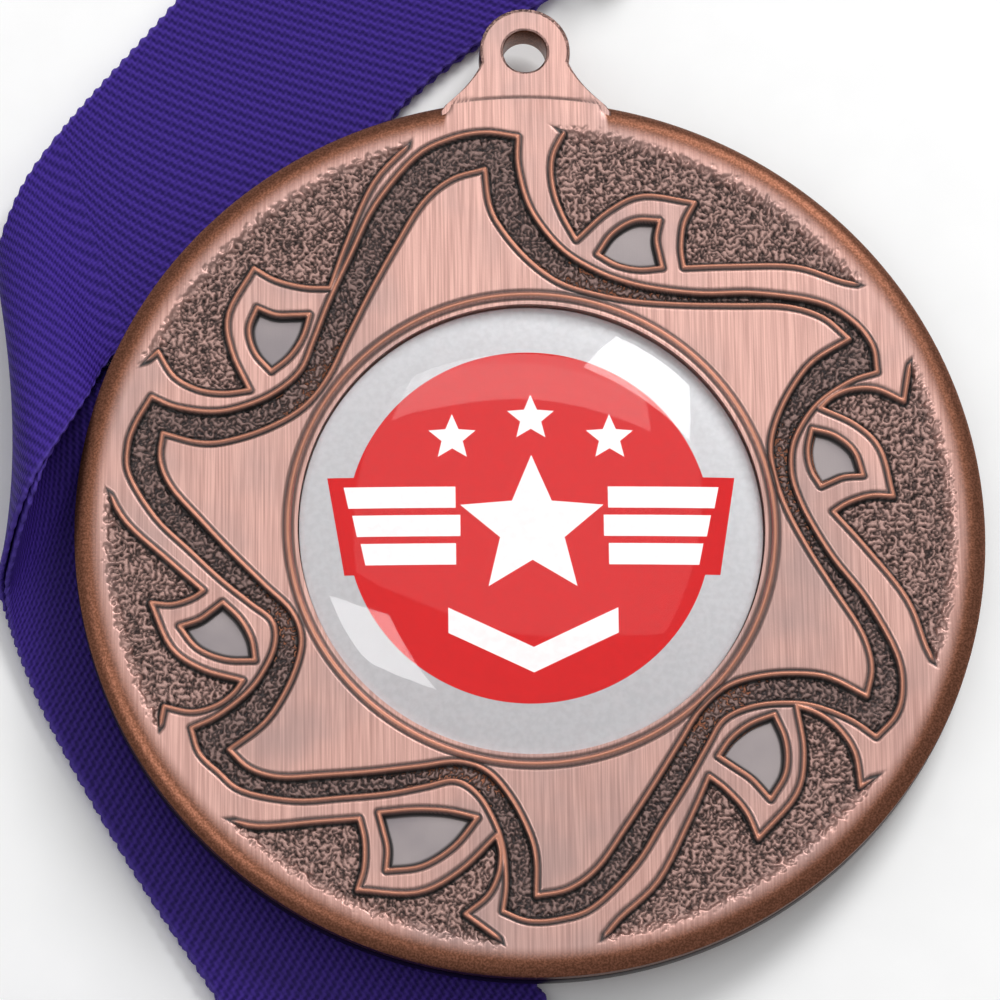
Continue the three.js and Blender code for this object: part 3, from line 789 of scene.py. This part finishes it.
def edge_point(edge, s):
    """Points on one edge of the strand."""
    marks = STRAND_EDGES[:, edge:edge + 3]
    marks = np.vstack([2 * marks[0] - marks[1], marks, 2 * marks[-1] - marks[-2]])
    place = np.interp(s, STRAND_EDGES[:, 0], np.arange(len(STRAND_EDGES)))
    i = np.minimum(place.astype(int), len(STRAND_EDGES) - 2)
    t = (place - i)[:, None]
    a, b, c, d = (marks[i + k] for k in range(4))
    point = 0.5 * (2 * b + (c - a) * t + (2 * a - 5 * b + 4 * c - d) * t ** 2
                   + (3 * b - a - 3 * c + d) * t ** 3)
    point[:, 2] = np.maximum(point[:, 2], BAND_REST)
    return point


def on_strand(s, v):
    """Points on the middle of the band between the hem and the hank, and the way its face points."""
    share = (v / TAPE_WIDTH + 0.5)[:, None]

    def middle(at):
        return edge_point(1, at) * (1 - share) + edge_point(4, at) * share

    ahead = middle(np.minimum(s + 0.2, STRAND_LENGTH)) - middle(np.maximum(s - 0.2, 0))
    normal = np.cross(ahead, edge_point(4, s) - edge_point(1, s))
    return middle(s) + [*SHIFT, 0], normal / np.linalg.norm(normal, axis=1)[:, None]


def on_band(s, v, w):
    """Where a point of the double band lies: s along it, v across it, w out of its face."""
    s, v, w = (np.asarray(a, float).ravel() for a in (s, v, w))
    point, normal = on_strand(np.clip(s, 0, STRAND_LENGTH), v)
    before, after = np.minimum(s, 0), np.maximum(s - STRAND_LENGTH, 0)
    for heading, past, facing in ((STRAND_HEADING, before, 1), (LOWER_HEADING, after, -1)):
        point[:, :2] += past[:, None] * [math.cos(heading), math.sin(heading)]
        normal[past != 0] = (0, 0, facing)
    band = (point[:, :2], point[:, 2], normal)
    turns = [(TURN_POINT, TURN_HEADING, 95, 0.415)]
    for k in range(7):
        line_x, heading = (HANK_LEFT, -math.pi / 2) if k % 2 == 0 else (HANK_RIGHT, math.pi / 2)
        turns.append((np.array([line_x, TURN_POINT[1]]), heading, HANK_FIRST + HANK_RUN * k, HANK_PITCH / 2))
    for at, heading, first, radius in turns:
        band = folded_up(band, s > first, at, heading, radius)
    plan, up, normal = band
    return np.column_stack([plan + normal[:, :2] * w[:, None], up + normal[:, 2] * w])


def tape_path():
    """The tape's way round the flattened loop, as (s, w), from its far end and back again."""
    coarse = np.arange(BAND_LENGTH, 118, -0.4)
    fine = np.arange(118, 2.2, -0.2)
    there = np.concatenate([coarse, fine])
    loop = catmull([(1.6, -0.22), (0.0, -0.2), (-1.95, -0.1), (-2.95, 0.33), (-3.3, 1.25), (-2.85, 2.15),
                    (-1.95, 2.52), (-1.1, 2.25), (-0.5, 1.5), (0.0, 0.72), (0.7, 0.3), (1.6, 0.22)], 6)
    far_end = [(BAND_LENGTH + 0.2 * math.cos(t), 0.22 * math.sin(t)) for t in np.linspace(1.2, -1.2, 4)]
    return np.vstack([np.column_stack([there, np.full(len(there), -TAPE_GAP)]), loop,
                      np.column_stack([there[::-1], np.full(len(there), TAPE_GAP)]), far_end])


def ribbon():
    path = tape_path()
    ahead = np.roll(path, -1, axis=0) - np.roll(path, 1, axis=0)
    ahead /= np.linalg.norm(ahead, axis=1)[:, None]
    face = np.column_stack([ahead[:, 1], -ahead[:, 0]])
    run = np.concatenate([[0], np.cumsum(np.linalg.norm(np.diff(path, axis=0), axis=1))])
    half = np.array([0, 0.22, 0.45, 0.65, 0.85, 0.95, 0.985, 1])
    share = np.concatenate([-half[:0:-1], half])
    bulge = TAPE_HALF * np.sqrt(np.clip(1 - ((np.abs(share) - 0.95).clip(0) / 0.05) ** 2, 0, 1))
    share = np.concatenate([share, share[-2:0:-1]])
    bulge = np.concatenate([bulge, -bulge[-2:0:-1]])
    # The weft's loops stand out along both edges, 0.9 mm apart.
    picots = 0.09 * np.sin(run * 2 * math.pi / 0.9)[:, None] * np.sign(share) * (np.abs(share) > 0.94)
    across = TAPE_WIDTH / 2 * share[None, :] + picots
    s = path[:, :1] + bulge[None, :] * face[:, :1]
    w = path[:, 1:] + bulge[None, :] * face[:, 1:]
    rings = on_band(s, across, w).reshape(len(path), len(share), 3)
    shape, u, along = unit_grid(len(share), len(path))
    ring, point = around(along, len(path)) % len(path), around(u, len(share)) % len(share)
    move_to(shape, rings[ring, point])
    keep_value(shape, "along", run[ring])
    keep_value(shape, "across", across[ring, point])
    made = piece("neck_ribbon", shape, ROW_PLACE, woven_polyester(), "ribbon")
    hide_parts("ribbon_strand", "ribbon_hem", "ribbon_hank")


def hem_stitches():
    polyester = plain_material("spun_polyester_thread", "#4a3596", "#34226f", 9000, 0.00003, 0.7)
    span = np.linspace(-6.2, 6.2, 240)
    dips = 0.44 - 0.3 * eased(0.5, 1.0, np.cos(span * math.pi / 1.24) ** 2)
    turn = catmull([(0.9, 6.2, 0.5), (1.3, 6.5, 0.56), (2.0, 6.6, 0.58), (2.7, 6.5, 0.56),
                    (3.1, 6.2, 0.5)], 6)
    line = np.vstack([np.column_stack([np.full(240, 0.9), span, dips]), turn,
                      np.column_stack([np.full(240, 3.1), span[::-1], dips])])
    line = on_band(line[:, 0], line[:, 1], line[:, 2])
    shape = swept(tube(line, 0.16, 10, (0, 0, 1)))
    made = piece("hem_thread", shape, ROW_PLACE, polyester, "ribbon")
    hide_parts("hem_stitching")


def hank_band():
    """The flat elastic that holds the folded part of the ribbon."""
    low, high = (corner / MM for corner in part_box("hank_tie"))
    middle, half = (low + high) / 2, (high - low) / 2
    elastic = knitted_elastic()
    corner = 1.2
    y, z = half.y - corner, half.z - corner
    path = []
    for turn, cy, cz in ((0, y, z), (1, -y, z), (2, -y, -z), (3, y, -z)):
        for t in np.linspace(0, math.pi / 2, 9):
            path.append((cy, cz, math.cos(turn * math.pi / 2 + t), math.sin(turn * math.pi / 2 + t)))
    dense = []
    for a, b in zip(path, path[1:] + path[:1]):
        for k in np.linspace(0, 1, 6, endpoint=False):
            dense.append([p + (q - p) * k for p, q in zip(a, b)])
    section = [(-2.0, 0.25), (-1.9, 0.06), (-1.6, 0.0), (1.6, 0.0), (1.9, 0.06), (2.0, 0.25), (1.9, 0.44),
               (1.6, 0.5), (-1.6, 0.5), (-1.9, 0.44)]
    rings = [[(middle.x + x, middle.y + cy + (corner - depth) * c, middle.z + cz + (corner - depth) * s)
              for x, depth in section] for cy, cz, c, s in dense]
    made = piece("elastic_band", swept(rings, closed_along=True), ROW_PLACE, elastic, "ribbon")
    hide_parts("hank_tie")


def knitted_elastic():
    """White knitted elastic with ribs along its length."""
    made, tree = new_material("knitted_elastic")
    # Ribs 0.5 mm apart.
    ribs = add(tree, "ShaderNodeTexWave", {"Vector": stretched_coords(tree, (2000, 0, 0))},
               {"Scale": 0.16, "Distortion": 0.0}).outputs["Fac"]
    fibre = noise(tree, stretched_coords(tree, (6000, 6000, 6000)), 2.0)
    height = maths(tree, "ADD", ribs, maths(tree, "MULTIPLY", fibre, 0.5))
    base = mixed(tree, ranged(tree, height, 0.2, 1.3), "#b9b6b0", "#f1efea")
    shader = add(tree, "ShaderNodeBsdfPrincipled",
                 {"Base Color": base, "Normal": bumped(tree, height, 0.0001, 0.7)}, {"Roughness": 0.85})
    show(tree, shader)
    return made


def wire_bail():
    wire = plain_material("nickel_plated_steel_wire", "#d9d6d0", "#c4c1bb", 6000, 0.00001, 0.22,
                          Metallic=1.0)
    half, length, nose, corner, gap = 8.6, 9.5, 1.9, 1.3, 0.25
    corner_y, nose_x = half - corner, length - nose
    lean = math.atan2(nose_x - corner, corner_y)
    side = [(0, gap), (0, 2.2), (0, 4.4), (0, corner_y - 0.4)]
    side += [(corner + corner * math.cos(t), corner_y + corner * math.sin(t))
             for t in np.linspace(math.pi, lean, 9)]
    front = [(nose_x + nose * math.cos(t), nose * math.sin(t)) for t in np.linspace(lean, -lean, 11)]
    points = side + front + [(x, -y) for x, y in side[::-1]]
    line = catmull([(x, y, 0) for x, y in points], 4)
    hinge = joints["bail_swing"]
    away = Vector((-hinge["axis"][1], hinge["axis"][0], 0))
    tilt = math.asin((hinge["pos_m"][2] / MM - 0.62) / length)
    rings = tube(line, 0.6, 18, (0, 0, 1))
    place = (Matrix.Translation(Vector(hinge["pos_m"])) @ Matrix.Rotation(math.atan2(away.y, away.x), 4, "Z")
             @ Matrix.Rotation(tilt, 4, "Y") @ Matrix.Scale(MM, 4))
    made = piece("wire_bail", swept(rings), place, wire, "bail")
    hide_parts("ribbon_bail")


# ---- stage ----
def softbox(name, direction, distance, width, height, brightness, lights_matte=True, reflects=True):
    """A rectangular lamp that faces the medal. Brightness is what its face shows."""
    light = bpy.data.lights.new(name, "AREA")
    light.shape = "RECTANGLE"
    light.size = width
    light.size_y = height
    light.energy = brightness * math.pi * width * height
    made = bpy.data.objects.new(name, light)
    made.visible_diffuse = lights_matte
    made.visible_transmission = lights_matte
    made.visible_glossy = reflects
    toward = Vector(direction).normalized()
    made.location = medal_origin + toward * distance
    made.rotation_euler = toward.to_track_quat("Z", "Y").to_euler()
    bpy.context.scene.collection.objects.link(made)


def stage():
    paper = plain_material("white_paper", "#ffffff", "#fdfdfd", 300, 0.00001, 0.9)
    shape = bmesh.new()
    bmesh.ops.create_grid(shape, x_segments=2, y_segments=2, size=1.5)
    mesh = bpy.data.meshes.new("floor")
    shape.to_mesh(mesh)
    shape.free()
    mesh.materials.append(paper)
    floor = bpy.data.objects.new("floor", mesh)
    bpy.context.scene.collection.objects.link(floor)
    world = bpy.data.worlds.new("studio")
    world.use_nodes = True
    world.node_tree.nodes["Background"].inputs["Color"].default_value = (1, 1, 1, 1)
    world.node_tree.nodes["Background"].inputs["Strength"].default_value = 0.5
    bpy.context.scene.world = world
    softbox("softbox_key", (0.4, 0.75, 0.52), 0.8, 0.3, 0.3, 19, reflects=False)
    softbox("softbox_above", (0.06, 0.34, 0.94), 0.9, 0.6, 0.42, 0.65)
    softbox("strip_above", (0.05, 0.52, 0.85), 0.9, 0.42, 0.14, 2.0, lights_matte=False)
    softbox("window_right", (0.343, 0.626, 0.701), 0.7, 0.17, 0.28, 7, lights_matte=False)
    softbox("window_left", (-0.367, -0.049, 0.93), 0.7, 0.17, 0.28, 6, lights_matte=False)


def camera():
    """Looks down at the medal, a little from its foot."""
    azimuth, elevation, roll = (math.radians(angle) for angle in (-9.67, 73.885, -0.85))
    distance = 260.0
    back = Vector((math.sin(azimuth) * math.cos(elevation), -math.cos(azimuth) * math.cos(elevation),
                   math.sin(elevation)))
    right = Vector((0, 1, 0)).cross(back).normalized()
    up = back.cross(right)
    rolled = right * math.cos(roll) + up * math.sin(roll)
    over = up * math.cos(roll) - right * math.sin(roll)
    turn = Matrix((rolled, over, back)).transposed().to_4x4()
    tilt = MEDAL_PLACE @ Matrix.Scale(1 / MM, 4)
    data = bpy.data.cameras.new("camera")
    data.sensor_width = 36
    data.lens = 169.53
    data.shift_x = -0.03
    data.shift_y = 0.0387
    data.clip_start = 0.01
    made = bpy.data.objects.new("camera", data)
    made.matrix_world = tilt @ Matrix.Translation(back * distance * MM) @ turn
    bpy.context.scene.collection.objects.link(made)
    bpy.context.scene.camera = made


metal = antique_bronze()
for ray in range(6):
    face_sector(ray, metal)
medal_blank(metal)
medal_ear(metal)
insert_adhesive()
printed_insert()
resin_dome()
ribbon()
hem_stitches()
hank_band()
wire_bail()
stage()
camera()
bpy.context.scene.view_settings.view_transform = "Standard"
